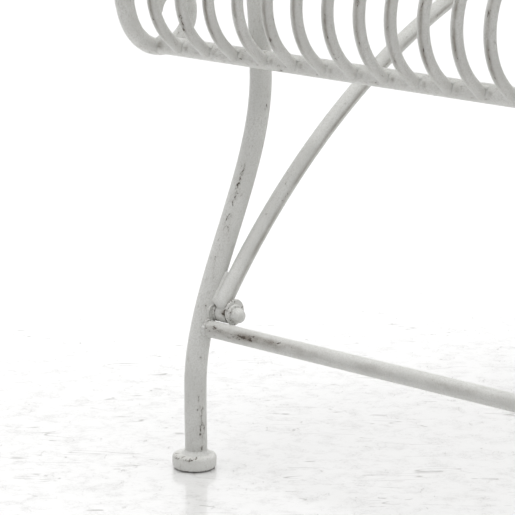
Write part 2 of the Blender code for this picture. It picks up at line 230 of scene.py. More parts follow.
# ---------------------------------------------------------------- mesh helpers
def piece(name, verts, faces, uvs, rubs, paint, stands_for=()):
    # uvs holds one (along, around) pair per face corner, in metres; rubs one wear value per vertex, or
    # a pair of wear and darkening, which is grime and in places painted shade.
    me = bpy.data.meshes.new(name)
    me.from_pydata(verts, [], faces)
    layer = me.uv_layers.new(name="skin")
    for loop, uv in zip(layer.data, uvs):
        loop.uv = uv
    rub, grime_and_shade = (me.attributes.new(word, "FLOAT", "POINT") for word in ("rub", "grime_and_shade"))
    for i, v in enumerate(rubs):
        rub.data[i].value, grime_and_shade.data[i].value = v if isinstance(v, tuple) else (v, 0.0)
    me.shade_smooth()
    me.set_sharp_from_angle(angle=radians(50))
    me.materials.append(paint)
    ob = bpy.data.objects.new(name, me)
    bpy.context.scene.collection.objects.link(ob)
    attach(ob, "root")
    if stands_for:
        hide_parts(*stands_for)
    return ob


class Shape:
    # Gathers closed sweeps and lumps into one piece.
    def __init__(self):
        self.verts, self.faces, self.uvs, self.rubs = [], [], [], []

    def sweep(self, path, radius, ref, sides=20, rub=None, wide=None, flat=None, dome=0.0, along=0.0):
        # Round bar along path. ref lies across the bar all the way; wide and flat scale it across and
        # along ref by the share of its length; dome is how far the rounded ends stand out, in radii.
        # rub(normal, point) gives the wear at a point of the skin, or a pair of wear and darkening, which
        # is grime and in places painted shade.
        path = [Vector(p) for p in path]
        ref = Vector(ref).normalized()
        start = len(self.verts)
        total = sum((b - a).length for a, b in zip(path, path[1:]))
        rings = []
        s = 0.0
        for i, p in enumerate(path):
            if i:
                s += (p - path[i - 1]).length
            onward = path[min(i + 1, len(path) - 1)] - path[max(i - 1, 0)]
            rings.append((p, onward.normalized(), s, 1.0))
        if dome:
            for k, end in ((0, rings[0]), (1, rings[-1])):
                way = end[1] * (1 if k else -1)
                extra = []
                for j in (1, 2, 3):
                    a = j * pi / 8
                    extra.append((end[0] + way * radius * dome * sin(a), end[1], end[2], cos(a)))
                rings = rings + extra if k else list(reversed(extra)) + rings
        for p, way, s, size in rings:
            side = way.cross(ref).normalized()
            share = s / total
            a = radius * size * (wide(share) if wide else 1.0)
            b = radius * size * (flat(share) if flat else 1.0)
            for j in range(sides):
                th = 2 * pi * j / sides
                out = side * cos(th) + ref * sin(th)
                co = p + side * a * cos(th) + ref * b * sin(th)
                self.verts.append(co)
                self.rubs.append(rub(out, co) if rub else 0.0)
        count = len(rings)
        for i in range(count - 1):
            for j in range(sides):
                k = (j + 1) % sides
                self.faces.append((start + i * sides + j, start + i * sides + k,
                                   start + (i + 1) * sides + k, start + (i + 1) * sides + j))
                v0, v1 = 2 * pi * j / sides * radius, 2 * pi * (j + 1) / sides * radius
                u0, u1 = along + rings[i][2], along + rings[i + 1][2]
                self.uvs += [(u0, v0), (u0, v1), (u1, v1), (u1, v0)]
        self.faces.append(tuple(start + j for j in reversed(range(sides))))
        self.faces.append(tuple(start + (count - 1) * sides + j for j in range(sides)))
        for end in (0, 1):
            self.uvs += [(along + radius * cos(2 * pi * j / sides), radius * sin(2 * pi * j / sides))
                         for j in range(sides)]

    def turned(self, profile, origin, axis, sides=28, rub=0.0):
        # Solid of revolution: (radius, height) pairs from the axis to the axis.
        axis = Vector(axis).normalized()
        a = axis.orthogonal().normalized()
        b = axis.cross(a)
        origin = Vector(origin)
        start = len(self.verts)
        inner = profile[1:-1]
        self.verts.append(origin + axis * profile[0][1])
        self.verts.append(origin + axis * profile[-1][1])
        self.rubs += [0.0, 0.0]
        for r, h in inner:
            for j in range(sides):
                th = 2 * pi * j / sides
                self.verts.append(origin + axis * h + (a * cos(th) + b * sin(th)) * r)
                self.rubs.append(rub(r, h, self.verts[-1]) if callable(rub) else rub)
        base = start + 2
        for i in range(len(inner) - 1):
            for j in range(sides):
                k = (j + 1) % sides
                q = (base + i * sides + j, base + i * sides + k, base + (i + 1) * sides + k,
                     base + (i + 1) * sides + j)
                self.faces.append(q)
                v0, v1 = 2 * pi * j / sides * inner[i][0], 2 * pi * (j + 1) / sides * inner[i][0]
                self.uvs += [(inner[i][1], v0), (inner[i][1], v1), (inner[i + 1][1], v1),
                             (inner[i + 1][1], v0)]
        last = base + (len(inner) - 1) * sides
        for j in range(sides):
            k = (j + 1) % sides
            self.faces.append((start, base + k, base + j))
            self.faces.append((start + 1, last + j, last + k))
            for _ in range(2):
                self.uvs += [(0, 0), (0.002 * cos(j), 0.002 * sin(j)), (0.002 * cos(k), 0.002 * sin(k))]

    def bead(self, centre, axis, radius, thick, seed, rub=0.9, steps=40):
        # A hand-laid weld: a lumpy ring round axis, closed into a ring.
        axis = Vector(axis).normalized()
        a = axis.orthogonal().normalized()
        b = axis.cross(a)
        centre = Vector(centre)
        start = len(self.verts)
        sides = 8
        for i in range(steps):
            th = 2 * pi * i / steps
            way = a * cos(th) + b * sin(th)
            uneven = 0.5 * noise.noise(Vector((seed, i * 0.55, 0.3))) + 0.18 * sin(i * 2.4 + seed)
            r = thick * (0.75 + uneven)
            for j in range(sides):
                ph = 2 * pi * j / sides
                co = centre + way * (radius + r * cos(ph)) + axis * r * 1.1 * sin(ph)
                self.verts.append(co)
                self.rubs.append(rub * (0.55 + 0.45 * noise.noise(co * 260)))
        for i in range(steps):
            n = (i + 1) % steps
            for j in range(sides):
                k = (j + 1) % sides
                self.faces.append((start + i * sides + j, start + n * sides + j,
                                   start + n * sides + k, start + i * sides + k))
                u0, u1 = radius * 2 * pi * i / steps, radius * 2 * pi * (i + 1) / steps
                v0, v1 = thick * 2 * pi * j / sides, thick * 2 * pi * (j + 1) / sides
                self.uvs += [(u0, v0), (u1, v0), (u1, v1), (u0, v1)]

    def blob(self, centre, size, seed, rub=1.0):
        # A small weld spatter or tack: a squashed, lumpy ball.
        centre, size = Vector(centre), Vector(size)
        start = len(self.verts)
        rows, cols = 6, 9
        self.verts.append(centre + Vector((0, 0, size.z)))
        self.verts.append(centre - Vector((0, 0, size.z)))
        self.rubs += [rub, rub]
        for i in range(1, rows):
            lat = pi * i / rows
            for j in range(cols):
                lon = 2 * pi * j / cols
                d = Vector((sin(lat) * cos(lon), sin(lat) * sin(lon), cos(lat)))
                k = 1 + 0.30 * noise.noise(d * 1.7 + Vector((seed, seed * 0.37, 0)))
                self.verts.append(centre + Vector((d.x * size.x, d.y * size.y, d.z * size.z)) * k)
                self.rubs.append(rub)
        base = start + 2
        for i in range(rows - 2):
            for j in range(cols):
                k = (j + 1) % cols
                self.faces.append((base + i * cols + j, base + (i + 1) * cols + j,
                                   base + (i + 1) * cols + k, base + i * cols + k))
                self.uvs += [(0.001 * i, 0.001 * j), (0.001 * i + 0.001, 0.001 * j),
                             (0.001 * i + 0.001, 0.001 * j + 0.001), (0.001 * i, 0.001 * j + 0.001)]
        low = base + (rows - 2) * cols
        for j in range(cols):
            k = (j + 1) % cols
            self.faces.append((start, base + j, base + k))
            self.faces.append((start + 1, low + k, low + j))
            self.uvs += [(0, 0), (0.001, 0.0), (0.001, 0.001)] * 2

    def plate(self, outline, x0, x1, rub):
        # A flat plate across X with the given (Y, Z) outline.
        start, n = len(self.verts), len(outline)
        for x in (x0, x1):
            self.verts += [Vector((x, y, z)) for y, z in outline]
        self.rubs += [rub] * (2 * n)
        self.faces += [tuple(start + j for j in reversed(range(n))), tuple(start + n + j for j in range(n))]
        self.uvs += list(reversed(outline)) + list(outline)
        for j in range(n):
            k = (j + 1) % n
            self.faces.append((start + j, start + k, start + n + k, start + n + j))
            self.uvs += [(0.01 * j, 0.0), (0.01 * k, 0.0), (0.01 * k, x1 - x0), (0.01 * j, x1 - x0)]

    def make(self, name, paint, stands_for=()):
        return piece(name, self.verts, self.faces, self.uvs, self.rubs, paint, stands_for)


# ---------------------------------------------------------------- centre lines in the (Y, Z) plane
def arc(points, heading, radius, turn, steps):
    side = 1 if turn > 0 else -1
    y, z = points[-1]
    cy, cz = y - side * radius * sin(heading), z + side * radius * cos(heading)
    for k in range(1, steps + 1):
        h = heading + radians(turn) * k / steps
        points.append((cy + side * radius * sin(h), cz - side * radius * cos(h)))
    return heading + radians(turn)


def ahead(points, heading, length):
    y, z = points[-1]
    points.append((y + length * cos(heading), z + length * sin(heading)))


def both_edges(half):
    return list(reversed(half)) + [(-y, z) for y, z in half]


def roll_line():
    pts = [(-FRONT_Y + ROLL_TOP_R, SEAT_Z)]
    h = arc(pts, pi, ROLL_TOP_R, 90, 20)
    h = arc(pts, h, ROLL_LOW_R, ROLL_LOW_TURN, 11)
    for _ in range(4):
        ahead(pts, h, 0.0035)
    return pts


def scroll_line():
    pts = [(-END_Y + ROLL_TOP_R, SEAT_Z)]
    h = arc(pts, pi, ROLL_TOP_R, 90, 24)
    for radius, turn in SCROLL_ARCS:
        h = arc(pts, h, radius, turn, 14)
    return pts


def leg_line():
    # The slight outward bow, the S-curve and the top leaning out to the beam, sampled closely.
    def ease(share):
        return share * share * (3 - 2 * share)

    def y_at(z):
        if z < BEND_LOW:
            return LEG_STAND + BOW * max(0.0, BOW_TOP - max(z, BOW_LOW)) ** 2
        if z < BEND_HIGH:
            return LEG_STAND + BEND_IN * ease((z - BEND_LOW) / (BEND_HIGH - BEND_LOW))
        share = (z - BEND_HIGH) / (BEAM_Z - BEAM_R - BEND_HIGH)
        bent = LEG_STAND + BEND_IN
        return bent + (FOOT_LINE - FRONT_Y + BEAM_IN - bent) * share * share
    low, high = FOOT_H, BEAM_Z - BEAM_R + 0.001
    steps = 90
    return [(-FOOT_LINE + y_at(low + (high - low) * k / steps), low + (high - low) * k / steps)
            for k in range(steps + 1)]


def y_on(line, z):
    # Y at a height, on a line that rises all the way.
    return next(y0 + (y1 - y0) * (z - z0) / (z1 - z0) for (y0, z0), (y1, z1) in zip(line, line[1:])
                if z0 <= z <= z1)


def on_arc(y):
    return BRACE_ARC_Z + sqrt(BRACE_ARC_R ** 2 - (y - BRACE_ARC_Y) ** 2)


def brace_line():
    # From inside the knee's sleeve to the rivets under the middle.
    low, high = -FOOT_LINE + BRACE_START, -RIVET_Y
    steps = 70
    return [(y, on_arc(y)) for y in (low + (high - low) * (k / steps) ** 1.2 for k in range(steps + 1))]


# ---------------------------------------------------------------- wear
def lump(co, scale, seed=0.0):
    # Smooth noise between 0 and 1.
    return 0.5 + 0.5 * noise.noise(co * scale + Vector((seed, seed * 0.7, -seed)))


def ridge(toward, width, out):
    # 1 where the skin faces toward, falling off over width in radians.
    turn = acos(max(-1.0, min(1.0, out.dot(toward))))
    return exp(-(turn / width) ** 2)


def mottled(amount, scale=30.0):
    return lambda out, co: amount * (0.25 + 0.9 * lump(co, scale))


# ---------------------------------------------------------------- seat rods
roll = both_edges(roll_line())


def rod_rub(out, co):
    # A brown line rubbed along the outer front of each roll, fading toward the rail and over the seat.
    edge = 1.0 if co.y > 0 else -1.0
    over = min(1.0, max(0.0, (abs(co.y) - FRONT_Y + ROLL_TOP_R + 0.02) / 0.03))
    if over:
        inward_y, inward_z = edge * (FRONT_Y - ROLL_TOP_R), SEAT_Z - ROLL_TOP_R
        outward = out.y * (co.y - inward_y) + out.z * (co.z - inward_z) > 0
    else:
        outward = out.z > 0
    fade = 0.12 + 0.88 * min(1.0, max(0.0, (co.z - 0.351) / 0.022))
    line = exp(-((out.x - 0.22) / 0.32) ** 2) * (0.60 + 0.65 * lump(co, 42.0, 4.0)) * fade
    if not outward:
        line = 0.0
    return (0.42 + 0.20 * over) * line + 0.08, line * (0.18 + 0.62 * over)


for panel in range(PANELS):
    rods = Shape()
    for k in range(RODS_PER_PANEL):
        index = panel * RODS_PER_PANEL + k
        x = -HALF_LEN + ROD_PITCH * (1 + index) + 0.0004 * sin(index * 2.1)
        rods.sweep([(x, y, z) for y, z in roll], ROD_R, (1, 0, 0), 20, rod_rub, along=index * 0.37)
        for sy in (-1, 1):
            # weld that fills the corner between rod and rail, and tacks between rod and beam
            y = sy * (FRONT_Y - RAIL_IN)
            rods.blob((x + 0.0028, y + sy * 0.0046, RAIL_Z + 0.0050), (0.0042, 0.0038, 0.0026),
                      index * 3.1 + sy, 0.1)
            rods.blob((x - 0.0026, y + sy * 0.0048, RAIL_Z + 0.0050), (0.0034, 0.0036, 0.0026),
                      index * 1.7 + sy, 0.1)
            rods.blob((x, sy * (FRONT_Y - BEAM_IN + 0.0029), BEAM_Z + BEAM_R), (0.0052, 0.0030, 0.0026),
                      index * 2.9 + sy, 0.3)
    rods.make("seat_rods_%02d" % (panel + 1), ROD_PAINT, ("seat_panel_%02d" % (panel + 1),))


# ---------------------------------------------------------------- rails, beams, stretchers, end tubes
def straight(a, b, steps):
    a, b = Vector(a), Vector(b)
    return [a.lerp(b, k / steps) for k in range(steps + 1)]


def rail_rub(out, co):
    # A soft dark mark on the rail beside each rod's weld, and one by the end tube's weld.
    place = (co.x + HALF_LEN) / ROD_PITCH
    beside = (place - round(place)) * ROD_PITCH - 0.0100
    turn = out.z - 0.15
    size = 0.35 + 0.75 * lump(Vector((round(place) * 0.37, 0.0, 0.0)), 9.0)
    facing = 1.0 if out.y * co.y > 0 else 0.0
    mark = exp(-(beside / 0.0020) ** 2 - (turn / 0.26) ** 2) * size * facing
    by_end = exp(-((HALF_LEN - abs(co.x) - 0.0125) / 0.0030) ** 2 - (turn / 0.5) ** 2) * facing
    return 0.35 * (0.25 + 0.9 * lump(co, 30.0)) + 0.20 * mark, 0.80 * mark + 0.55 * by_end


inside = HALF_LEN - 0.004
for word, sy in (("front", -1), ("rear", 1)):
    s = Shape()
    y = sy * (FRONT_Y - RAIL_IN)
    s.sweep(straight((-inside, y, RAIL_Z), (inside, y, RAIL_Z), 1300), RAIL_R, (0, 0, 1), 28, rail_rub)
    for sx in (-1, 1):
        # weld to the thinner bar of the scroll, filled smooth
        for across, up in ((0.6, 0.75), (0.95, 0.2), (0.8, -0.5), (0.1, -0.95), (-0.7, -0.5), (-0.5, 0.7)):
            s.blob((sx * (HALF_LEN - 0.0066), y + sy * across * 0.0062, RAIL_Z + up * 0.0062),
                   (0.0036, 0.0026, 0.0026), across + up * 3 + sx, 0.1)
    s.make(word + "_rail_bar", PAINT, (word + "_rail",))
    s = Shape()
    y = sy * (FRONT_Y - BEAM_IN)
    s.sweep(straight((-inside, y, BEAM_Z), (inside, y, BEAM_Z), 120), BEAM_R, (0, 0, 1), 24, mottled(0.3))
    s.make(word + "_beam_bar", PAINT, (word + "_beam",))

centre_z = SEAT_Z - ROD_R - BEAM_R
s = Shape()
s.sweep(straight((-inside, 0, centre_z), (inside, 0, centre_z), 120), BEAM_R, (0, 0, 1), 24, mottled(0.3))
s.make("centre_beam_bar", PAINT, ("centre_beam",))

scroll = both_edges(scroll_line())
tube_length = sum(hypot(b[0] - a[0], b[1] - a[1]) for a, b in zip(scroll, scroll[1:]))
scroll_length = ROLL_TOP_R * pi / 2 + sum(radius * radians(turn) for radius, turn in SCROLL_ARCS)


def scroll_rub(out, co):
    edge = 1.0 if co.y > 0 else -1.0
    toward = Vector((0.5 if co.x < 0 else -0.5, edge, 0.3)).normalized()
    line = ridge(toward, 0.45, out) * (0.3 + lump(co, 42.0, 3.0))
    return 0.45 * line + 0.25 * lump(co, 36.0), 0.10 * line


def thinned(share):
    # The bar thins steadily along each scroll, from the roll to the tip.
    from_seat = scroll_length - min(share, 1.0 - share) * tube_length
    return 1.0 - max(0.0, from_seat - TAPER_START) * TAPER / END_R


for word, sx in (("left", -1), ("right", 1)):
    x = sx * HALF_LEN
    s = Shape()
    s.sweep([(x, y, z) for y, z in scroll], END_R, (1, 0, 0), 28, scroll_rub, thinned, thinned,
            dome=0.6)
    s.make(word + "_end_tube_bar", PAINT, (word + "_end_tube",))

    base = SEAT_Z + END_R - 0.002
    hoop = [(HOOP_Y, base)]
    ahead(hoop, pi / 2, HOOP_RISE - HOOP_CORNER_R + 0.002)
    arc(hoop, pi / 2, HOOP_CORNER_R, 90, 26)
    hoop = hoop + [(-y, z) for y, z in reversed(hoop)]
    s = Shape()
    s.sweep([(x, y, z) for y, z in hoop], END_R, (1, 0, 0), 24, mottled(0.4))
    for sy in (-1, 1):
        s.bead((x, sy * HOOP_Y, SEAT_Z + END_R * 0.86), (0, 0, 1), END_R, 0.0015, sx + 5 * sy, 0.7)
    s.make(word + "_hoop_bar", PAINT, (word + "_hoop",))

    s = Shape()
    low = SEAT_Z + END_R
    top = low + HOOP_RISE
    for k in range(SPINDLES):
        y = (k - (SPINDLES - 1) / 2) * SPINDLE_PITCH
        past = max(0.0, abs(y) - (HOOP_Y - HOOP_CORNER_R))
        head = top - HOOP_CORNER_R + sqrt((HOOP_CORNER_R - END_R) ** 2 - past ** 2) + 0.001
        s.sweep(straight((x, y, low - 0.001), (x, y, head), 30), SPINDLE_R, (1, 0, 0), 14, mottled(0.45),
                along=k * 0.4)
        s.bead((x, y, low), (0, 0, 1), SPINDLE_R, 0.0010, k + 9.1, 0.6, steps=24)
    bar_z = low + CROSS_BAR_UP
    half = HOOP_Y - END_R + 0.001
    s.sweep(straight((x, -half, bar_z), (x, half, bar_z), 60), CROSS_BAR_R, (1, 0, 0), 16, mottled(0.4),
            flat=lambda share: CROSS_BAR_FLAT)
    s.make(word + "_end_spindles", PAINT, (word + "_spindles",))

# ---------------------------------------------------------------- legs, feet, knees, braces, stretchers
leg_path = leg_line()
brace_path = brace_line()
brace_heading = atan2(brace_path[8][1] - brace_path[2][1], brace_path[8][0] - brace_path[2][0])


def fading(share):
    # The weld in the crease thins toward its upper end.
    return 1.0 - 0.45 * share


def eye_wide(share):
    # The brace's upper end is hammered into a flat eye: taller than the tube ...
    return 1.0 + 0.30 * min(1.0, max(0.0, share - 0.93) / 0.035)


def eye_flat(share):
    # ... and thinner along the rivet.
    return 1.0 - 0.38 * min(1.0, max(0.0, share - 0.92) / 0.035)


def leg_rub(out, co):
    # Chips down the outer front of the leg, thickest well above the knee, and again down the side that
    # faces the middle of the daybed near the foot.
    outer = Vector((0.45 if co.x < 0 else -0.45, 1.0 if co.y > 0 else -1.0, 0.0)).normalized()
    line = ridge(outer, 0.50, out)
    band = exp(-((co.z - 0.228) / 0.036) ** 2) + 0.30 * exp(-((co.z - 0.160) / 0.04) ** 2)
    chips = line * band * (0.2 + 1.2 * lump(co, 75.0, 2.0))
    inner = Vector((0.96 if co.x < 0 else -0.96, 0.27 if co.y > 0 else -0.27, 0.0))
    low_band = exp(-((co.z - 0.040) / 0.028) ** 2)
    chips += 0.56 * ridge(inner, 0.42, out) * low_band * (0.2 + 1.2 * lump(co, 75.0, 2.0))
    low = exp(-((co.z - FOOT_H) / 0.005) ** 2) * lump(co, 110.0, 4.0)
    return 1.72 * chips + 0.18 * lump(co, 36.0) + 0.5 * low, 0.25 * chips


def foot_rub(r, h, co):
    # Chipped round the outer top rim; the bottom edge is chipped and darkened, the darkening partly a
    # painted contact shadow where the foot meets the floor. The flat top is clean.
    outer = 0.5 + 0.5 * (abs(co.y) - FOOT_LINE) / FOOT_R
    # lowest edge: chips, and darkening that is partly painted contact shadow
    if h < 0.0015:
        return 0.35 + 1.1 * lump(co, 110.0, 2.0), 0.35 * outer
    if r < FOOT_R - 0.0030:
        return 0.0, 0.0
    if h > FOOT_H - 0.0020:
        return outer ** 3 * (0.40 + 1.10 * lump(co, 95.0, 3.0)), 0.55 * outer ** 3 * lump(co, 80.0)
    return 0.30 * outer * lump(co, 70.0, 7.0), 0.0


def brace_rub(out, co):
    # One dark line along the side that faces the middle of the daybed.
    inner = Vector((1.0 if co.x < 0 else -1.0, 0.10 if co.y > 0 else -0.10, 0.0)).normalized()
    line = ridge(inner, 0.22, out) * (0.45 + 0.65 * lump(co, 48.0, 6.0))
    return 0.55 * line + 0.08 * lump(co, 30.0), 0.85 * line


def sleeve_rub(r, h, co):
    # Dark where the slipped washer leaves the sleeve open: its outer face and a wedge of the rim beside it.
    out, up = abs(co.y) - (FOOT_LINE - KNEE_IN), co.z - KNEE_Z
    if h > SLEEVE_END - 0.0005 and r < SLEEVE_R - 0.0005:
        open_side = min(1.0, max(0.0, (out - up) / 0.006 + 0.2))
        return 0.2 + 1.3 * open_side, 0.9 * open_side
    along = min(1.0, max(0.0, (h - SLEEVE_END + 0.0070) / 0.0060))
    wedge = along * exp(-((atan2(up, out) - 0.28) / (0.10 + 0.26 * along)) ** 2)
    return 0.12 + 0.15 * lump(co, 120.0) + 1.5 * wedge, 0.95 * wedge


def washer_rub(r, h, co):
    return (0.35 + 0.5 * lump(co, 160.0, 5.0), 0.0) if r > WASHER_R - 0.0009 else (0.5, 0.1)


def stretcher_rub(out, co):
    near = LEG_X - abs(co.x)
    outer = Vector((0.0, 1.0 if co.y > 0 else -1.0, 0.30)).normalized()
    facing = ridge(outer, 0.60, out)
    patch = facing * (exp(-((near - 0.018) / 0.014) ** 2) + 0.9 * exp(-((near - 0.052) / 0.022) ** 2) +
                      0.72 * exp(-((near - 0.105) / 0.036) ** 2))
    patch *= 0.25 + 1.0 * lump(co, 95.0, 1.0)
    smudge = facing * (0.12 + max(0.0, lump(co, 14.0, 8.0) - 0.40) * 1.6)
    return 0.98 * patch + 0.12 * lump(co, 45.0) + 0.25 * smudge, 0.40 * patch + 1.25 * smudge


def hex_nut(shape, origin, axis, r, low, high, rub):
    # A six-sided nut with its corners turned off.
    axis = Vector(axis)
    a = Vector((0, 0, 1))
    b = axis.cross(a)
    origin = Vector(origin)
    start = len(shape.verts)
    levels = ((low, 0.90), (low + 0.0006, 1.0), (high - 0.0008, 1.0), (high, 0.88))
    for h, size in levels:
        for j in range(6):
            th = pi / 3 * j + pi / 6
            shape.verts.append(origin + axis * h + (a * cos(th) + b * sin(th)) * r * size)
            shape.rubs.append(rub)
    for i in range(3):
        for j in range(6):
            k = (j + 1) % 6
            q = [start + i * 6 + j, start + i * 6 + k, start + (i + 1) * 6 + k, start + (i + 1) * 6 + j]
            shape.faces.append(tuple(q))
            shape.uvs += [(levels[i][0], j * r), (levels[i][0], (j + 1) * r), (levels[i + 1][0], (j + 1) * r),
                          (levels[i + 1][0], j * r)]
    shape.faces.append(tuple(start + j for j in reversed(range(6))))
    shape.faces.append(tuple(start + 18 + j for j in range(6)))
    shape.uvs += [(0.001 * j, 0.0) for j in range(12)]


for y_word, sy in (("front", -1), ("rear", 1)):
    for x_word, sx in (("left", -1), ("right", 1)):
        tag = y_word + "_" + x_word
        x = sx * LEG_X
        inward = -sx
        s = Shape()
        s.sweep([(x, -sy * y, z) for y, z in leg_path], LEG_R, (1, 0, 0), 32, leg_rub)
        base_y = -sy * leg_path[0][0]
        s.bead((x, base_y, FOOT_H + 0.0004), (0, 0, 1), LEG_R, 0.0016, 2.0 + sx + sy, 0.75, steps=48)
        # smooth foot of that weld, spreading on the disc
        s.turned([(0, FOOT_H - 0.0010), (LEG_R + 0.0038, FOOT_H - 0.0010), (LEG_R + 0.0031, FOOT_H + 0.0003),
                  (LEG_R + 0.0014, FOOT_H + 0.0012), (LEG_R + 0.0003, FOOT_H + 0.0031), (0, FOOT_H + 0.0031)],
                 (x, base_y, 0), (0, 0, 1), 40, 0.15)
        # weld against the rail
        rail_y = sy * (FRONT_Y - RAIL_IN)
        for k in (-1, 1):
            s.blob((x + k * 0.0075, rail_y - sy * 0.0075, RAIL_Z - 0.002), (0.003, 0.0025, 0.0055),
                   k + sy, 0.6)
        s.make(tag + "_leg_bar", PAINT, (tag + "_leg",))

        s = Shape()
        foot = [(0, 0.0002), (FOOT_R - 0.0034, 0.0002), (FOOT_R - 0.0018, 0.0007), (FOOT_R - 0.0007, 0.0019),
                (FOOT_R - 0.0001, 0.0036), (FOOT_R, 0.0060), (FOOT_R, FOOT_H - 0.0030),
                (FOOT_R - 0.0004, FOOT_H - 0.0016), (FOOT_R - 0.0012, FOOT_H - 0.0006),
                (FOOT_R - 0.0026, FOOT_H), (0, FOOT_H)]
        s.turned(foot, (x, sy * FOOT_LINE, 0), (0, 0, 1), 48, foot_rub)
        s.make(tag + "_foot_disc", HARD_PAINT, (tag + "_foot",))

        # knee, from the leg toward the middle: boss, sleeve on the brace, slipped washer, flanged cap nut
        ky = sy * (FOOT_LINE - KNEE_IN)
        axis = (inward, 0, 0)
        bolt = (x, ky, KNEE_Z)
        s = Shape()
        s.turned([(0, BOSS_START - 0.0015), (SLEEVE_R - 0.0004, BOSS_START - 0.0015),
                  (SLEEVE_R, BOSS_START), (SLEEVE_R, BOSS_END - 0.0003), (SLEEVE_R - 0.0004, BOSS_END),
                  (0, BOSS_END)], bolt, axis, 36, 0.7)
        s.bead((x + inward * (BOSS_START - 0.0012), ky + sy * 0.0052, KNEE_Z), axis, SLEEVE_R - 0.0016,
               0.0013, 1.0 + sx + sy, 0.4)
        s.make(tag + "_knee_boss_plate", HARD_PAINT, (tag + "_knee_boss",))

        s = Shape()
        s.turned([(0, BOSS_START), (BOLT_R, BOSS_START), (BOLT_R, STUD_END), (0, STUD_END)], bolt, axis,
                 20, 1.0)
        s.make(tag + "_knee_stud_bar", HARD_PAINT, (tag + "_knee_stud",))

        near = SLEEVE_END + GAP
        far = near + WASHER_T
        s = Shape()
        s.turned([(0, near), (WASHER_R - 0.0007, near), (WASHER_R, near + 0.0007), (WASHER_R, far - 0.0007),
                  (WASHER_R - 0.0003, far - 0.0002), (WASHER_R - 0.0010, far), (0, far)],
                 (x, ky - sy * WASHER_SLIP, KNEE_Z + WASHER_SLIP), axis, 40, washer_rub)
        s.make(tag + "_knee_washer_ring", HARD_PAINT, (tag + "_knee_washer",))

        near = far + GAP
        far = near + FLANGE_T
        s = Shape()
        s.turned([(0, near), (FLANGE_R - 0.0003, near), (FLANGE_R, near + 0.0004), (FLANGE_R, far - 0.0007),
                  (FLANGE_R - 0.0006, far - 0.0001), (NUT_R + 0.0006, far + 0.0003), (0, far + 0.0003)],
                 bolt, axis, 40, 0.55)
        hex_nut(s, bolt, axis, NUT_R, far, far + NUT_H, 0.45)
        cap = far + NUT_H - 0.0004
        s.turned([(0, cap - 0.001)] + [(DOME_R * cos(k * pi / 18), cap + DOME_R * 0.92 * sin(k * pi / 18))
                                      for k in range(9)] + [(0, cap + DOME_R * 0.92)], bolt, axis, 32, 0.22)
        s.make(tag + "_dome_nut", HARD_PAINT, (tag + "_cap_nut",))

        bx = x + inward * BRACE_OFF
        s = Shape()
        s.sweep([(bx, -sy * y, z) for y, z in brace_path], BRACE_R, (1, 0, 0), 28, brace_rub, eye_wide,
                eye_flat, dome=0.75)
        near, far = BOSS_END + GAP, SLEEVE_END
        s.turned([(0, near), (SLEEVE_R - 0.0008, near), (SLEEVE_R, near + 0.0009)] +
                 [(SLEEVE_R, far - 0.0080 + 0.0010 * k) for k in range(7)] + [(SLEEVE_R, far - 0.0011),
                  (SLEEVE_R - 0.0004, far - 0.0003), (SLEEVE_R - 0.0011, far), (SLEEVE_R - 0.0042, far),
                  (0, far)], bolt, axis, 40, sleeve_rub)
        up = brace_heading
        seam = Vector((bx, ky - sy * cos(up) * SLEEVE_SEAM, KNEE_Z + sin(up) * SLEEVE_SEAM))
        s.bead(seam, (0, -sy * cos(up), sin(up)), BRACE_R - 0.0009, 0.0016, 2.0 * sx + sy, 0.25)
        # paint and weld that fill the crease between leg and brace above the knee
        crease = []
        for k in range(9):
            z = KNEE_Z + 0.0095 + 0.0026 * k
            y = (y_on(leg_path, z) + y_on(brace_path, z)) / 2
            crease.append((x + inward * 0.0102, -sy * (y - 0.0016), z))
        s.sweep(crease, 0.0040, (1, 0, 0), 12, mottled(0.2), fading, fading, dome=0.8)
        s.make(tag + "_brace_bar", PAINT, (tag + "_brace",))

        s = Shape()
        rz = on_arc(-RIVET_Y)
        near, far = -EYE_HALF - GAP - HANGER_T - GAP, EYE_HALF + GAP
        rivet = [(0, near - 0.0030), (0.0030, near - 0.0027), (0.0046, near - 0.0016), (0.0055, near),
                 (0.003, near), (0.003, far), (0.0055, far), (0.0046, far + 0.0016),
                 (0.0030, far + 0.0027), (0, far + 0.0030)]
        s.turned(rivet, (bx, sy * RIVET_Y, rz), axis, 24, 0.5)
        s.make(tag + "_brace_rivet_pin", HARD_PAINT, (tag + "_brace_rivet",))

    s = Shape()
    y = -sy * y_on(leg_path, STRETCHER_Z)
    reach = LEG_X - 0.004
    s.sweep(straight((-reach, y, STRETCHER_Z), (reach, y, STRETCHER_Z), 700), STRETCHER_R, (0, 0, 1), 28,
            stretcher_rub)
    for sx in (-1, 1):
        s.bead((sx * (LEG_X - LEG_R + 0.0008), y, STRETCHER_Z), (1, 0, 0), STRETCHER_R, 0.0019, sx * 4.4 + sy,
               0.8)
    s.make(y_word + "_stretcher_bar", PAINT, (y_word + "_stretcher",))

for word, sx in (("left", -1), ("right", 1)):
    # steel strip from the centre beam down past the two rivets, drawn as a flat plate
    near = sx * (LEG_X - BRACE_OFF) + sx * (EYE_HALF + GAP)
    middle = near + sx * HANGER_T / 2
    low, high = on_arc(-RIVET_Y) - HANGER_BELOW, centre_z - BEAM_R - GAP
    s = Shape()
    cut = HANGER_HALF - HANGER_CHAMFER
    outline = [(-HANGER_HALF, low + HANGER_CHAMFER), (-cut, low), (cut, low),
               (HANGER_HALF, low + HANGER_CHAMFER), (HANGER_HALF, high), (-HANGER_HALF, high)]
    s.plate(outline, middle - HANGER_T / 2, middle + HANGER_T / 2, 0.4)
    s.make(word + "_hanger_plate", PAINT, (word + "_hanger",))

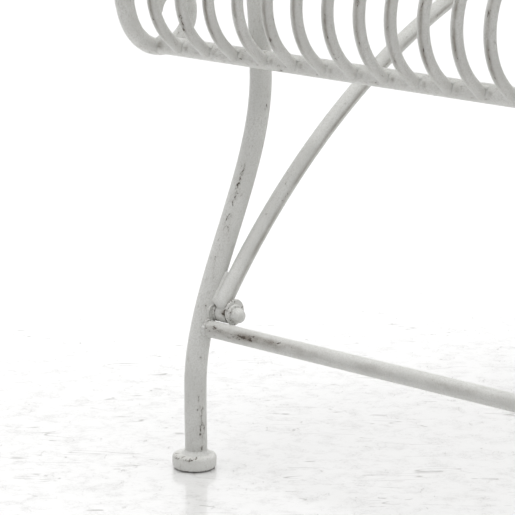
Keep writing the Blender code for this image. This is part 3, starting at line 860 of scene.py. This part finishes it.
# ---------------------------------------------------------------- floor, light, camera
floor = bpy.data.meshes.new("floor")
floor.from_pydata([(-FLOOR_REACH, -FLOOR_REACH, 0), (FLOOR_REACH, -FLOOR_REACH, 0),
                   (FLOOR_REACH, FLOOR_REACH, 0), (-FLOOR_REACH, FLOOR_REACH, 0)], [], [(0, 1, 2, 3)])
ground = bpy.data.objects.new("floor", floor)
bpy.context.scene.collection.objects.link(ground)
pale = bpy.data.materials.new("pale_floor")
pale.use_nodes = True
tree = pale.node_tree
shader = tree.nodes["Principled BSDF"]
where = node(tree, "ShaderNodeTexCoord").outputs["Object"]
# axes turned to run along and across the line of sight, from the nearest foot
placed = node(tree, "ShaderNodeMapping", vector_type="TEXTURE")
tree.links.new(where, placed.inputs["Vector"])
placed.inputs["Location"].default_value = (-LEG_X, -FOOT_LINE, 0.0)
placed.inputs["Rotation"].default_value = (0.0, 0.0, FLOOR_TURN)
split = node(tree, "ShaderNodeSeparateXYZ")
tree.links.new(placed.outputs["Vector"], split.inputs[0])
across, away = split.outputs["X"], split.outputs["Y"]
# painted light: the floor's colour turns paler away from the nearest foot, a painted glow, and a little
# greyer to its right, a painted shade
painted_far_glow = step(tree, away, 0.05, 0.60)
painted_right_shade = step(tree, across, -0.15, 0.22)
tone = mix(tree, painted_right_shade, (0.840, 0.838, 0.834), (0.822, 0.819, 0.814))
tone = mix(tree, painted_far_glow, tone, (0.98, 0.98, 0.98))
brushed = node(tree, "ShaderNodeMapping")
tree.links.new(placed.outputs["Vector"], brushed.inputs["Vector"])
brushed.inputs["Scale"].default_value = (1.0, 1.05, 1.0)
smears = noise_of(tree, brushed.outputs["Vector"], 40.0, 9.0, 0.80, 0.3)
fine = noise_of(tree, brushed.outputs["Vector"], 95.0, 6.0, 0.72, 0.6)
speckled = node(tree, "ShaderNodeMapping")
tree.links.new(placed.outputs["Vector"], speckled.inputs["Vector"])
speckled.inputs["Scale"].default_value = (1.0, 0.30, 1.0)
dots = noise_of(tree, speckled.outputs["Vector"], 190.0, 3.0, 0.65, 0.4)
drawn = node(tree, "ShaderNodeMapping")
tree.links.new(placed.outputs["Vector"], drawn.inputs["Vector"])
drawn.inputs["Rotation"].default_value = (0.0, 0.0, radians(-7.0))
drawn.inputs["Scale"].default_value = (0.30, 2.2, 1.0)
lines = noise_of(tree, drawn.outputs["Vector"], 15.0, 2.0, 0.6, 0.2)
spread = noise_of(tree, placed.outputs["Vector"], 17.0, 3.0, 0.7, 0.3)


def thread(value, half):
    # 1 on a thin line where value crosses the middle of its range.
    return step(tree, calc(tree, "ABSOLUTE", calc(tree, "SUBTRACT", value, 0.5)), 0.0, half, 1.0, 0.0)


def add_marks(so_far, kind, where_worn, strength):
    seen = calc(tree, "MULTIPLY", calc(tree, "MULTIPLY", kind, where_worn), strength)
    return calc(tree, "ADD", so_far, seen)


# soft smears, hairline scuffs, specks, and a few longer scratches; fewer far from the nearest foot,
# faded there by the painted glow
worn = step(tree, smears, 0.44, 0.60)
marks = calc(tree, "MULTIPLY", step(tree, smears, 0.44, 0.72), 0.36)
marks = add_marks(marks, thread(fine, 0.020), worn, 0.45)
marks = add_marks(marks, step(tree, dots, 0.61, 0.72), worn, 0.70)
marks = add_marks(marks, thread(lines, 0.009), step(tree, spread, 0.52, 0.58), 0.95)
marks = calc(tree, "MULTIPLY", marks, step(tree, away, 0.2, 0.75, 1.0, 0.25))
marked = mix(tree, calc(tree, "MINIMUM", marks, 1.0), tone, (0.40, 0.39, 0.38))
tree.links.new(marked, shader.inputs["Base Color"])
shader.inputs["Roughness"].default_value = 0.30
shader.inputs["Specular IOR Level"].default_value = 0.5
shader.inputs["Coat Weight"].default_value = 0.8
shader.inputs["Coat Roughness"].default_value = 0.07
shader.inputs["Coat IOR"].default_value = 1.8
floor.materials.append(pale)

world = bpy.data.worlds.new("white_room")
world.use_nodes = True
bpy.context.scene.world = world
tree = world.node_tree
back = tree.nodes["Background"]
way = node(tree, "ShaderNodeTexCoord").outputs["Generated"]
toward = node(tree, "ShaderNodeVectorMath", operation="DOT_PRODUCT")
tree.links.new(way, toward.inputs[0])
toward.inputs[1].default_value = (0.18, -0.96, 0.20)
overhead = node(tree, "ShaderNodeSeparateXYZ")
tree.links.new(way, overhead.inputs[0])
glow = calc(tree, "ADD", step(tree, toward.outputs["Value"], -0.35, 0.85, 1.0, 0.44),
            step(tree, overhead.outputs["Z"], 0.55, 0.95, 0.0, 0.95))
tree.links.new(glow, back.inputs["Strength"])
back.inputs["Color"].default_value = (1.0, 1.0, 1.0, 1.0)


def lamp(name, at, look_at, size, watts):
    data = bpy.data.lights.new(name, "AREA")
    data.shape = "DISK"
    data.size = size
    data.energy = watts
    ob = bpy.data.objects.new(name, data)
    ob.location = at
    ob.rotation_euler = (Vector(look_at) - Vector(at)).to_track_quat("-Z", "Y").to_euler()
    bpy.context.scene.collection.objects.link(ob)


lamp("top_light", (-1.0, -0.7, 3.0), (-0.7, -0.35, 0.2), 1.6, 14)

corner = Vector((-LEG_X, -FOOT_LINE, 0.0))
camera_data = bpy.data.cameras.new("camera")
camera_data.sensor_width = 36.0
camera_data.lens = CAMERA_LENS
camera = bpy.data.objects.new("camera", camera_data)
camera.location = corner + Vector(CAMERA_FROM_CORNER)
looking = Vector((-cos(CAMERA_YAW) * cos(CAMERA_PITCH), sin(CAMERA_YAW) * cos(CAMERA_PITCH),
                  -sin(CAMERA_PITCH)))
camera.rotation_euler = looking.to_track_quat("-Z", "Y").to_euler()
bpy.context.scene.collection.objects.link(camera)
bpy.context.scene.camera = camera
bpy.context.scene.view_settings.view_transform = "Standard"
